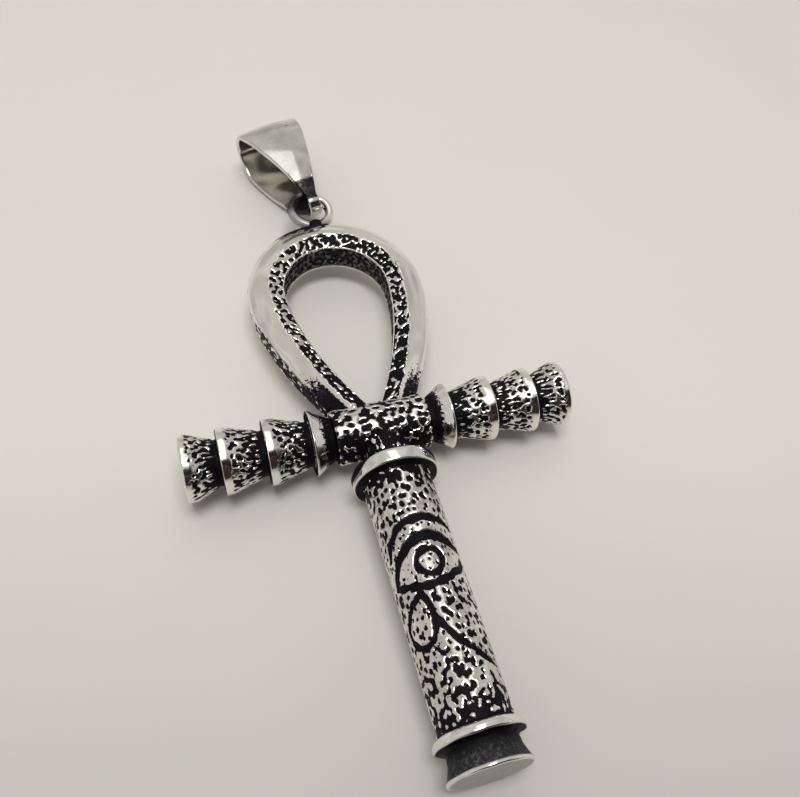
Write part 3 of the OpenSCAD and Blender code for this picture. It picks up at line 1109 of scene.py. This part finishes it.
@dataclass
class Loop(Part):
    """The teardrop loop: polished outer slopes, ridges, hammered inner slopes and dark walls.

    The pairs named _x and _y say where a part of the finish starts and ends. The black root reaches
    root_lift less high on the right leg.
    """

    half_w: float = 9.0
    top: float = 27.0
    wide_y: float = 17.1
    foot_y: float = 1.5
    slope_w: float = 2.25
    slope_top_w: float = 2.9
    hammer_w: float = 1.5
    ridge_z: float = 2.05
    inner_z: float = 1.45
    outer_z: float = 0.8
    leg_power: float = 1.8
    legs: Spot = (3.6, 1.98, 0.27)
    crown: float = 0.16
    bend: float = 0.05
    along: int = 620
    section_count: int = 150
    pit_depth: float = 0.11
    pit_blur: float = 0.16
    wave_depth: float = 0.022
    black_root_y: Pair = (5.8, 2.2)
    speckled_root_y: Pair = (8.3, 2.9)
    more_pits_y: Pair = (13.0, 6.0)
    torn_edge_y: Pair = (17.2, 11.5)
    dark_top_y: Pair = (12.0, 21.0)
    dark_top_x: Pair = (-6.5, 3.0)
    root_lift: float = 1.2
    pits: Pitting = Pitting(0.78, (0.74, 0.68), 0.58, (0.74, 0.66))

    @property
    def inner_w(self) -> float:
        """Width of the whole section, from the outer to the inner edge."""
        return self.slope_w + self.hammer_w

    def outline(self, way: Array, half: float, top: float, foot: float) -> Array:
        """Half a teardrop: a power curve up the leg and a quarter ellipse over the top.

        Args:
            way: From 0 to 1 up the leg, and from 1 to 2 over the top.
            half: Half the teardrop's width.
            top: Its highest y.
            foot: The leg's x at its foot.

        Returns:
            Rows of x and y.
        """
        leg_x = half - (half - foot) * np.clip(1 - way, 0.0, 1.0) ** self.leg_power
        leg_y = self.foot_y + (self.wide_y - self.foot_y) * way
        turn = np.radians(90 * np.clip(way - 1, 0.0, 1.0))
        arc_x, arc_y = half * np.cos(turn), self.wide_y + (top - self.wide_y) * np.sin(turn)
        return np.stack([np.where(way < 1, leg_x, arc_x), np.where(way < 1, leg_y, arc_y)], axis=1)

    def outlines(self) -> tuple[Array, Array]:
        """The outer edge, the ridge and the inner edge at even steps along the ridge.

        Returns:
            An array of three outlines by stations by x and y, and the stations' distance from the
            start of the right leg.
        """
        halves = (self.half_w, self.half_w - self.slope_w, self.half_w - self.inner_w)
        tops = (self.top, self.top - self.slope_top_w, self.top - self.slope_top_w - self.hammer_w)
        dense = np.linspace(0.0, 2.0, 2400)
        gone = walked(self.outline(dense, halves[1], tops[1], self.legs[1]))
        way = np.interp(np.linspace(0.0, gone[-1], self.along // 2), gone, dense)
        right = np.stack([self.outline(way, *row) for row in zip(halves, tops, self.legs)])
        left = right[:, -2::-1] * np.array([-1.0, 1.0])
        whole = np.concatenate([right, left], axis=1)
        return whole, np.linspace(0.0, 2 * gone[-1], whole.shape[1])

    def section(self) -> tuple[Array, Array]:
        """The six-sided section with a crowned outer slope and broken edges.

        Its points lie twice as close on the hammered part as on the rest.

        Returns:
            Rows of width from the outer edge and height, and their distance along the section.
        """
        rise = self.ridge_z - self.outer_z
        half = [
            (0.0, self.outer_z - 0.14), (0.16, self.outer_z + 0.16),
            (0.3 * self.slope_w, self.outer_z + 0.3 * rise + self.crown),
            (0.7 * self.slope_w, self.outer_z + 0.7 * rise + 0.8 * self.crown),
            (self.slope_w - 0.08, self.ridge_z), (self.slope_w + 0.06, self.ridge_z),
            (self.inner_w, self.inner_z),
        ]
        rows = half + [(w, -z) for w, z in reversed(half)]
        line = round_corners(np.array(rows), self.bend, closed=True)
        line = np.vstack([line, line[:1]])
        dense, gone = evenly(line, 4000)
        weight = np.cumsum(1.0 + (dense[:, 0] > self.slope_w - 0.1))
        weight = (weight - weight[0]) / (weight[-1] - weight[0])
        share = np.linspace(0.0, 1.0, self.section_count, endpoint=False)
        pick = np.interp(share, weight, gone)
        return resample(line, pick), pick

    def skins(self) -> list[Skin]:
        """The whole loop in one surface: the section carried round the three outlines.

        At each station a section point lies between the outer edge, the ridge and the inner edge,
        in the shares that its width says. The inner slopes are pitted, more so low down and at the
        top right. The inner wall is black, and so are the roots and the torn outer edge low on the
        left. A frayed band of painted shade and painted reflection of the ring darkens the outer
        slope beside it.

        Returns:
            The loop's surface.
        """
        lines, far = self.outlines()
        rows, place = self.section()
        width, height = rows.T
        first = np.interp(width, [0.0, self.slope_w, self.inner_w], [0.0, 1.0, 1.0])
        second = np.interp(width, [0.0, self.slope_w, self.inner_w], [0.0, 0.0, 1.0])
        flat = np.einsum("ks,kpc->psc", np.stack([1 - first, first - second, second]), lines)
        u, v = np.meshgrid(far, place, indexing="ij")
        w, z = (np.broadcast_to(column, u.shape) for column in (width, height))
        skin = Skin("loop", np.concatenate([flat, z[..., None]], axis=2))
        x, y, high = flat[..., 0], flat[..., 1], np.abs(z)
        raised = y + self.root_lift * (x > 0)

        grain = Grain(round(float(far[-1]), 1), 2 * self.inner_w + 8.0, 11, u, v)
        relief, streak = self.pits.relief(grain), grain.worms(1.2, 0.5)
        ragged = 0.10 * grain.worms(0.9, 0.9)
        hammer = ease(self.slope_w - 0.10, self.slope_w + 0.04, w + ragged)
        wall = ease(self.inner_w - 0.1, self.inner_w - 0.02, w)
        wall = wall * ease(self.inner_z - 0.08, self.inner_z - 0.28, high)
        lip = ease(self.inner_w - 0.16, self.inner_w - 0.04, w)
        lip = lip * ease(self.inner_z - 0.3, self.inner_z - 0.12, high)
        rear = ease(0.12, 0.02, w)
        rear = rear * ease(self.outer_z - 0.1, self.outer_z - 0.3, high)
        top_right = ease(*self.dark_top_y, y) * ease(*self.dark_top_x, x)
        level = 0.13 + 0.32 * top_right + 0.7 * ease(*self.more_pits_y, y)
        pits = soft_side(level - relief, self.pit_blur) * hammer * (1 - wall) * (1 - 0.9 * lip)

        low_edge = ease(*self.torn_edge_y, y) * (x < 0)
        outside = ease(0.40 * low_edge + 0.10, 0.12 * low_edge + 0.02, w)
        torn = 2.5 * low_edge - 1.7 - 1.1 * streak + 0.6 * rear
        slope = (1 - hammer) * (1 - rear)
        shelf = ease(self.slope_w - 0.35, self.slope_w - 0.75, w)
        root = ease(*self.black_root_y, raised) * shelf
        # Painted shade and painted reflection of the ring, frayed, on the outer slope beside it.
        ring_shade_width = (0.15 + 0.85 * ease(-6.0, -0.5, x)) * ease(2.2, 0.5, x)
        fray = 0.13 * streak - 0.03
        ring_shade_band = soft_side(ring_shade_width - fray - w, 0.12) * ease(-6.4, -4.8, x + 3 * fray)
        ring_shade_band = ring_shade_band * ease(1.9, 0.9, x + 3 * fray) * (y > 20.0)

        skin.marks = {
            Mark.OXIDE_AND_SHADE: highest(pits, wall * (1.0 - 0.16 * ease(0.2, 1.3, relief)),
                                outside * soft_side(torn, 0.2),
                                slope * ease(0.62, 0.95, root), ring_shade_band),
            Mark.POLISH: np.maximum(slope * (1 - root) * (1 - ring_shade_band), 0.85 * wall),
            Mark.SPECKLE: slope * shelf * ease(*self.speckled_root_y, raised),
        }
        skin.press(level - relief, self.pit_depth, hammer * (1 - wall) * (1 - 0.8 * lip))
        skin.press(torn, self.pit_depth, outside * low_edge)
        skin.press(-relief, self.pit_depth, wall)
        skin.sink(self.wave_depth * grain.worms(4.5, 2.4) * slope)
        return [skin]


@dataclass
class SolderedRing(Part):
    """The small round ring on the loop's top, with its soldered neck."""

    side: float = 0.2
    centre_y: float = 30.0
    ring_r: float = 2.125
    wire_r: float = 0.525
    tilt: float = 7.0
    roll: float = 9.0
    neck_r: float = 0.75
    neck_low: float = 25.6
    neck_top: float = 27.85
    ring_grid: tuple[int, int] = (160, 40)
    neck_grid: tuple[int, int] = (26, 48)

    def ring(self) -> Skin:
        """The wire's circle carried round the ring's circle, tilted about X and rolled about Y.

        It is greyed low down, darkened on the left by painted shade of the bail, more so towards
        the upper left, and black in its bore.

        Returns:
            The ring's surface.
        """
        turn, tube = circle(self.ring_grid[0])[:, None], circle(self.ring_grid[1])[None, :]
        far = self.ring_r + self.wire_r * np.cos(tube)
        wire = self.wire_r * np.sin(tube) + 0.0 * turn
        points = np.stack([far * np.sin(turn), far * np.cos(turn), wire], axis=-1)
        (sin_a, cos_a), (sin_b, cos_b) = (
            (np.sin(t), np.cos(t)) for t in np.radians([self.tilt, self.roll]))
        about_x = np.array([[1, 0, 0], [0, cos_a, -sin_a], [0, sin_a, cos_a]])
        about_y = np.array([[cos_b, 0, sin_b], [0, 1, 0], [-sin_b, 0, cos_b]])
        points = points @ (about_x @ about_y).T
        low = 0.6 * ease(-1.2, -2.2, points[..., 1])
        # Painted shade of the bail on the ring's left, darker towards its upper left.
        left = ease(-0.2, -1.3, points[..., 0])
        left = left * (0.62 + 0.36 * ease(-0.9, 0.4, points[..., 1]))
        bore = ease(0.15, -0.4, np.cos(tube)) * ease(0.95, 0.3, np.sin(turn))
        marks = {Mark.OXIDE_AND_SHADE: highest(low, left, bore), Mark.POLISH: 1 - 0.7 * bore}
        return Skin("ring", points + np.array([self.side, self.centre_y, 0.0]), marks, closed=True)

    def neck(self) -> Skin:
        """The solder between ring and loop: a short round neck with hollow sides.

        Returns:
            The neck's surface.
        """
        rows, around = self.neck_grid
        rise = np.linspace(0.0, 1.0, rows)
        waist = self.neck_r * (0.86 + 0.35 * (2 * rise - 1.15) ** 2)
        place = self.neck_low + (self.neck_top - self.neck_low) * rise
        line = np.stack([place, np.minimum(waist, self.neck_r)], axis=1)
        skin = turned("ring_neck", line, around, Run.STEM)
        skin.points[..., 0] += self.side
        skin.marks = {Mark.OXIDE_AND_SHADE: 1.0}
        return skin

    def skins(self) -> list[Skin]:
        """The ring and its neck."""
        return [self.ring(), self.neck()]


@dataclass
class Bail(Part):
    """The folded band: narrow and bent tight through the ring, wide and round at its fold.

    The spans say where a part of the finish, the painted shade and reflection among them, starts
    and ends, in mm along the bail.
    """

    body: str = "bail"
    node: str = "bail"
    length: float = 13.2
    width: float = 7.2
    tip_w: float = 1.3
    thick: float = 0.55
    height: float = 7.3
    fold_len: float = 5.0
    tip_h: float = 3.0
    leaf_power: float = 2.8
    side_power: float = 1.35
    lean: float = 13.0
    roll: float = 3.5
    tip: Spot = (0.5629, 31.3216, -0.0370)
    bevel: float = 0.13
    crown: float = 0.16
    crease_at: float = 0.12
    crease_drop: float = 0.85
    crease_sharp: float = 14.0
    skew: float = 0.07
    dent: float = 0.022
    skew_span: Pair = (4.0, 12.0)
    inside_black_span: Pair = (4.6, 2.2)
    tip_black_span: Pair = (2.0, 1.3)
    tip_clear_span: Pair = (-1.1, -0.5)
    along: int = 420
    across: int = 25
    nick_at: Pair = (1.75, 9.7)
    nick_reach: Pair = (0.36, 0.15)

    def side_line(self, inset: float) -> Array:
        """The closed side view of the band, taken in by inset: tight bend, bowed leaves, fold.

        Args:
            inset: How far inside the outer face the line runs.

        Returns:
            Rows of place along the bail and height over its middle.
        """
        tip_r, half = self.tip_h / 2, self.height / 2
        fold_x = self.length - self.fold_len
        a = np.radians(np.linspace(180, 90, 24, endpoint=False))
        bend = np.stack([(tip_r - inset) * np.cos(a), (tip_r - inset) * np.sin(a)], axis=1)
        t = np.linspace(0.0, 1.0, 90, endpoint=False)
        bow = tip_r - inset + (half - tip_r) * (1 - (1 - t) ** self.leaf_power)
        leaf = np.stack([fold_x * t, bow], axis=1)
        b = np.radians(np.linspace(90, 0, 50))
        reach = self.fold_len - inset
        fold = np.stack([fold_x + reach * np.cos(b), (half - inset) * np.sin(b)], axis=1)
        front = np.vstack([bend, leaf, fold])
        return np.vstack([front, front[-2:0:-1] * np.array([1.0, -1.0])])

    def half_width(self, place: Array) -> Array:
        """Half the band's width at a place along it: a power curve from the tip to the fold."""
        t = np.clip(place / (self.length - 0.4 * self.fold_len), 0.0, 1.0)
        return self.tip_w / 2 + (self.width - self.tip_w) / 2 * (1 - (1 - t) ** self.side_power)

    def strip(self) -> tuple[Array, Array, Array]:
        """The strip's section: its two faces, with broken edges between them.

        Returns:
            For each point the share of the half width, how far it is taken in from there, and the
            height over the strip's middle.
        """
        face, half = np.linspace(-1.0, 1.0, self.across), self.thick / 2
        edge_in = np.where(np.abs(face) > 0.99, self.bevel, 0.0)
        share = np.concatenate([face, [1.0, 1.0], face[::-1], [-1.0, -1.0]])
        inset = np.concatenate([edge_in, [0, 0], edge_in, [0, 0]])
        flat, low = np.full(self.across, half), half - self.bevel
        return share, inset, np.concatenate([flat, [low, -low], -flat, [-low, low]])

    def skins(self) -> list[Skin]:
        """The strip's section carried round the side line, creased, crowned and slightly dented.

        The crease bends the right part of the strip down: flat up to the crease, then straight
        down, as the logarithm of one more than a steep exponential. The inside is greyed, with
        painted shade deepening to black towards the tip, and the outside carries a painted dark
        reflection just above the ring.

        Returns:
            The band's surface.
        """
        ring = self.side_line(self.thick / 2)
        ring = np.vstack([ring, ring[:1]])
        length = line_length(ring)
        steps = np.linspace(0.0, length, self.along, endpoint=False)
        path = resample(ring, steps)
        ahead = np.roll(path, -1, axis=0) - np.roll(path, 1, axis=0)
        ahead /= np.linalg.norm(ahead, axis=1, keepdims=True)
        out = np.stack([-ahead[:, 1:], ahead[:, :1]])
        wide, half_w = self.half_width(path[:, :1]), self.width / 2
        share, inset, high = self.strip()
        side = share * wide - np.sign(share) * inset

        past = side / half_w - self.crease_at * wide / half_w
        crease = np.log1p(np.exp(self.crease_sharp * past)) / self.crease_sharp
        far = steps[:, None] + 0.0 * side
        grain = Grain(round(length, 1), 2 * self.width, 63, far, side + half_w)
        bow = self.dent * grain.worms(4.0, 3.4)
        bow = bow - self.crown * (side / half_w) ** 2 - self.crease_drop * crease
        lift = high + bow * out[1] ** 2
        place, rise = path[:, :1] + out[0] * lift, path[:, 1:] + out[1] * lift

        a, b = np.radians(self.roll), np.radians(self.lean)
        x, z = side * np.cos(a) - rise * np.sin(a), side * np.sin(a) + rise * np.cos(a)
        points = np.stack([x * np.cos(b) - place * np.sin(b), x * np.sin(b) + place * np.cos(b), z],
                          axis=-1) + np.array(self.tip)
        points[..., 1] += self.skew * side * ease(*self.skew_span, place)

        # Painted shade on the inner faces, deepening towards the tip.
        hidden = (high < 0) * (0.30 + 0.70 * ease(*self.inside_black_span, place))
        off = (side - self.nick_at[0]) / self.nick_reach[0]
        nick = 0.85 * np.exp(-off**2 - ((place - self.nick_at[1]) / self.nick_reach[1]) ** 2)
        nick = nick * (path[:, 1:] > 0) * (high > 0)
        # Painted dark reflection on the outside, just above the ring.
        tip = 0.72 * ease(*self.tip_black_span, place) * ease(*self.tip_clear_span, place)
        painted_dark_and_nick = highest(tip, hidden, nick)
        marks = {Mark.OXIDE_AND_SHADE: painted_dark_and_nick, Mark.POLISH: 1 - painted_dark_and_nick}
        return [Skin("bail_band", points, marks, closed=True)]


def facing(out: Array, aside: Spot) -> Array:
    """Three axes for a flat thing: across it, up it and out of its face.

    Args:
        out: Direction out of its face.
        aside: Direction that its across axis is square to.

    Returns:
        The three axes as columns.
    """
    out = out / np.linalg.norm(out)
    side = np.cross(aside, out)
    side /= np.linalg.norm(side)
    return np.stack([side, np.cross(out, side), out], axis=1)


@dataclass
class Studio:
    """Pale board, soft light, dark cards that the polished steel mirrors, and the camera.

    The camera's place is in mm of the pendant's axes and its directions are unit lengths. Places
    and sizes of cards and lamps are in metres of the row frame.
    """

    eye: Spot = (-14.13, -40.68, 65.42)
    right: Spot = (0.9588, -0.2768, 0.0636)
    down: Spot = (-0.1906, -0.7932, -0.5784)
    look: Spot = (0.2106, 0.5425, -0.8133)
    focal_px: float = 845.2
    image_px: float = 800.0
    sensor_mm: float = 36.0
    board_half: float = 0.6
    board_cells: int = 12
    board_drop: float = 0.00002
    # The two ends of the board's painted falloff of light, far and near.
    board_light: Colour = (0.712, 0.698, 0.666, 1)
    board_shade: Colour = (0.425, 0.415, 0.391, 1)
    room: Colour = (0.90, 0.88, 0.84, 1)

    def sheet(self, name: str, finish: PlainFinish, spots: Array,
              faces: Array) -> Piece:
        """Puts a flat thing of the studio into the scene.

        Args:
            name: Its name.
            finish: What it is made of.
            spots: Its points, a row each, in metres.
            faces: Its faces, as rows of indices into the points.

        Returns:
            The object.
        """
        piece = put_in(name, spots, faces, smooth=False)
        piece.data.materials.append(finish.material())
        return piece

    def board(self) -> None:
        """The pale board that the pendant lies on: a wide flat grid, far past the view's edges."""
        count = self.board_cells + 1
        edge = np.linspace(-self.board_half, self.board_half, count)
        u, v = np.meshgrid(edge, edge, indexing="ij")
        spots = np.stack([u.ravel(), v.ravel(), np.full(u.size, -self.board_drop)], axis=1)
        i = np.arange(self.board_cells)[:, None] * count + np.arange(self.board_cells)
        quads = np.stack([i, i + count, i + count + 1, i + 1], axis=-1).reshape(-1, 4)
        finish = PlainFinish("pale_board", self.board_light, self.board_shade)
        self.sheet("board", finish, spots, quads)

    def card(self, name: str, centre: Spot, size: Pair, tone: Colour) -> None:
        """A card that faces the pendant and shows only in reflections and as shade.

        Args:
            name: Its name.
            centre: Its middle.
            size: Its width and height.
            tone: Its colour.
        """
        middle = np.array(centre)
        across, up, _ = facing(-middle, (0.0, 0.0, 1.0)).T
        corners = np.array([middle + across * a * size[0] / 2 + up * b * size[1] / 2
                            for a, b in ((-1, -1), (1, -1), (1, 1), (-1, 1))])
        finish = PlainFinish(name, tone, tone, 0.9)
        card = self.sheet(name, finish, corners, np.arange(4)[None, :])
        card.visible_camera = False

    def hang(self, data: bpy.types.Light | bpy.types.Camera, spot: Array,
             axes: Array) -> Piece:
        """Puts a lamp or the camera at a place.

        Args:
            data: The lamp or the camera.
            spot: Its place, in metres.
            axes: Its own three axes as columns.

        Returns:
            Its object.
        """
        held = bpy.data.objects.new(data.name, data)
        held.matrix_world = Matrix.Translation(spot.tolist()) @ Matrix(axes.tolist()).to_4x4()
        bpy.context.scene.collection.objects.link(held)
        return held

    def lamp(self, name: str, spot: Spot, size: Pair, watts: float, tone: Spot) -> None:
        """A soft flat lamp that faces the pendant.

        Args:
            name: Its name.
            spot: Its place.
            size: Its sides, across and away from the viewer.
            watts: Its power.
            tone: Its colour.
        """
        light = bpy.data.lights.new(name, "AREA")
        light.shape, light.energy, light.color = "RECTANGLE", watts, tone
        light.size, light.size_y = size
        self.hang(light, np.array(spot), facing(np.array(spot), (0.0, 1.0, 0.0)))

    def camera(self, seat: Seat) -> None:
        """Puts the camera where the photograph was taken from.

        Args:
            seat: Place of the pendant in the row frame.
        """
        lens = bpy.data.cameras.new("camera")
        lens.sensor_width = self.sensor_mm
        lens.lens = self.focal_px / self.image_px * self.sensor_mm
        lens.clip_start, lens.clip_end = 0.001, 10.0
        axes = np.stack([self.right, -np.array(self.down), -np.array(self.look)], axis=1)
        bpy.context.scene.camera = self.hang(lens, seat.to_row(np.array(self.eye)), axes)

    def surroundings(self) -> bpy.types.World:
        """The pale room that the steel mirrors, a little brighter here and darker there.

        Returns:
            The world.
        """
        net = Net(bpy.data.worlds.new("surroundings"))
        spot = net.node("TexCoord").outputs["Generated"]
        cloud = net.node("TexNoise", None, Vector=spot, Scale=2.3, Detail=1.0).outputs[0]
        glow = net.node("MapRange", None, Value=cloud, From_Min=0.3, From_Max=0.7,
                        To_Min=0.46, To_Max=0.76).outputs[0]
        back = net.node("Background", None, Color=self.room, Strength=glow)
        net.node("OutputWorld", None, in_0=back.outputs[0])
        return net.owner

    def make(self, seat: Seat) -> None:
        """Builds the board, the cards, the lamps, the pale surroundings and the camera.

        Args:
            seat: Place of the pendant in the row frame.
        """
        self.board()
        self.card("card_low", (0.05, -0.31, 0.105), (0.72, 0.20), (0.045, 0.022, 0.02, 1))
        self.card("card_high", (0.03, -0.215, 0.245), (0.44, 0.15), (0.02, 0.011, 0.01, 1))
        self.lamp("window", (0.035, 0.165, 0.385), (0.16, 0.30), 0.10, (1.0, 0.985, 0.96))
        self.lamp("overhead", (-0.01, -0.06, 0.38), (0.17, 0.13), 0.76, (1.0, 0.985, 0.95))
        scene = bpy.context.scene
        scene.world = self.surroundings()
        scene.view_settings.view_transform = "Standard"
        self.camera(seat)


def main() -> None:
    """Builds the pendant part by part, then the studio round it; each piece logs its count of
    triangles.
    """
    logging.basicConfig(level=logging.INFO, format="%(name)s: %(message)s")
    seat, steel, mirror = Seat(), AntiquedSteel(), PolishedSteel()
    for part in (Crossbar(), Stem(), Loop(), SolderedRing()):
        part.make(seat, steel)
    Bail().make(seat, mirror)
    Studio().make(seat)


if __name__ == "__main__":
    main()
